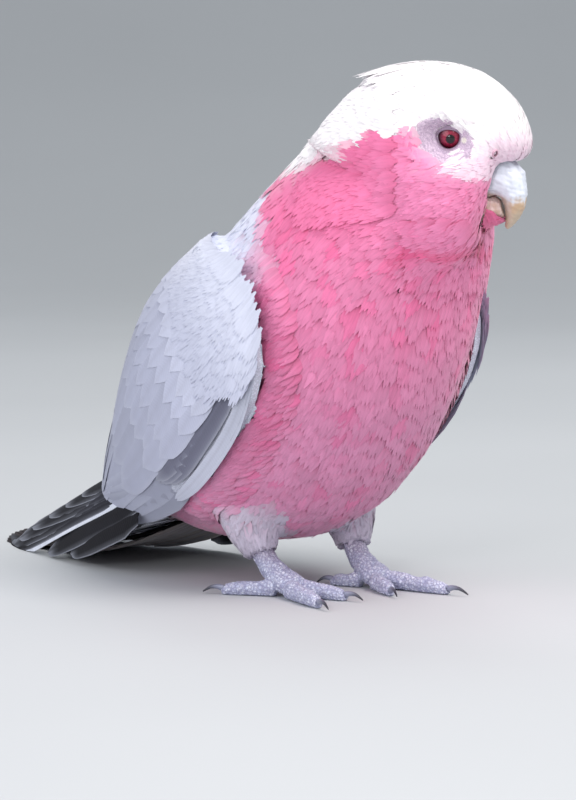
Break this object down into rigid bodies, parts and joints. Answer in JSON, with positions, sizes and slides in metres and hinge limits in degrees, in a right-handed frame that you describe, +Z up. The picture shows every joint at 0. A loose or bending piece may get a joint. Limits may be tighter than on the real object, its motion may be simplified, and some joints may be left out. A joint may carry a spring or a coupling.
{
  "type": "galah",
  "caption": "Pink and grey cockatoo standing on both feet at rest, head turned to its left, wings folded, tail laid back on the floor.",
  "frame": {"origin": "on the floor, under the middle of the whole bird's bounding box", "axes": "-Y the way the bird's body faces, tail towards +Y; +X its left side; +Z up"},
  "size_m": [0.104, 0.2653, 0.177],
  "materials": {
    "down": "soft rose-pink body feathers over the flesh",
    "crown": "fine pinkish-white crown feathers over the head",
    "grey": "pale ash-grey wing coverts",
    "quill": "dark grey-brown flight and tail feathers",
    "thigh": "short grey-pink leg feathers",
    "scale": "fine granular grey scales",
    "horn": "smooth pale horn",
    "claw": "smooth dark grey horn",
    "eye": "wet, deep crimson iris with a black pupil"
  },
  "bodies": {
    "root": {"trunk": "down", "neck": "down", "head": "crown", "bill_upper": "horn", "bill_lower": "horn", "tail": "quill", "eye_right": "eye", "wing_right": "grey", "primaries_right": "quill", "thigh_right": "thigh", "tarsus_right": "scale", "toe_inner_front_right": "scale", "claw_inner_front_right": "claw", "toe_outer_front_right": "scale", "claw_outer_front_right": "claw", "toe_inner_rear_right": "scale", "claw_inner_rear_right": "claw", "toe_outer_rear_right": "scale", "claw_outer_rear_right": "claw", "eye_left": "eye", "wing_left": "grey", "primaries_left": "quill", "thigh_left": "thigh", "tarsus_left": "scale", "toe_inner_front_left": "scale", "claw_inner_front_left": "claw", "toe_outer_front_left": "scale", "claw_outer_front_left": "claw", "toe_inner_rear_left": "scale", "claw_inner_rear_left": "claw", "toe_outer_rear_left": "scale", "claw_outer_rear_left": "claw"}
  },
  "joints": []
}
